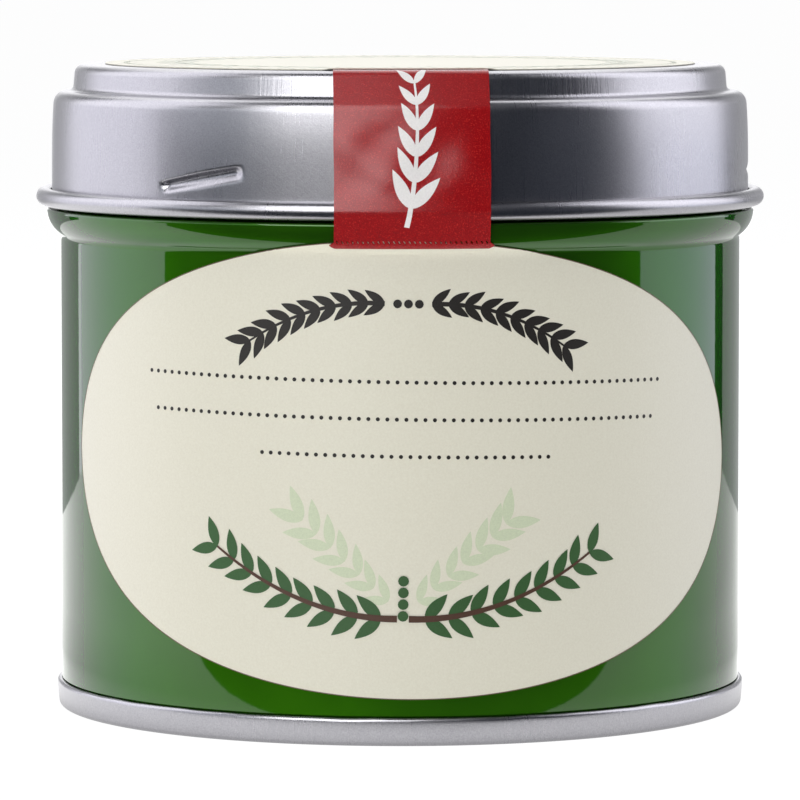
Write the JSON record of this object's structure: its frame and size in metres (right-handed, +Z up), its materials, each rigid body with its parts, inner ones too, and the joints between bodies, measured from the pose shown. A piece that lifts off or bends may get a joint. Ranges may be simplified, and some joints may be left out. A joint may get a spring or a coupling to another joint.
{
  "type": "spice tin",
  "caption": "Round tinplate spice tin with a lacquered body, a stepped screw lid, oval and round paper labels and a tear-off seal strip.",
  "frame": {"origin": "middle of the foot ring, on the plane that the tin stands on", "axes": "+Z up along the tin's axis, towards the lid; -Y out of the middle of the front label; +X to the right as the front label is read"},
  "size_m": [0.0784, 0.0785, 0.069],
  "materials": {
    "green_lacquer": "gloss",
    "tinplate": "satin",
    "cream_paper": "satin",
    "red_film": "satin"
  },
  "bodies": {
    "root": {"body_wall": "green_lacquer", "bottom_end": "tinplate", "screw_lid": "tinplate", "front_label": "cream_paper", "top_label": "cream_paper", "seal_strip": "red_film"}
  },
  "joints": []
}
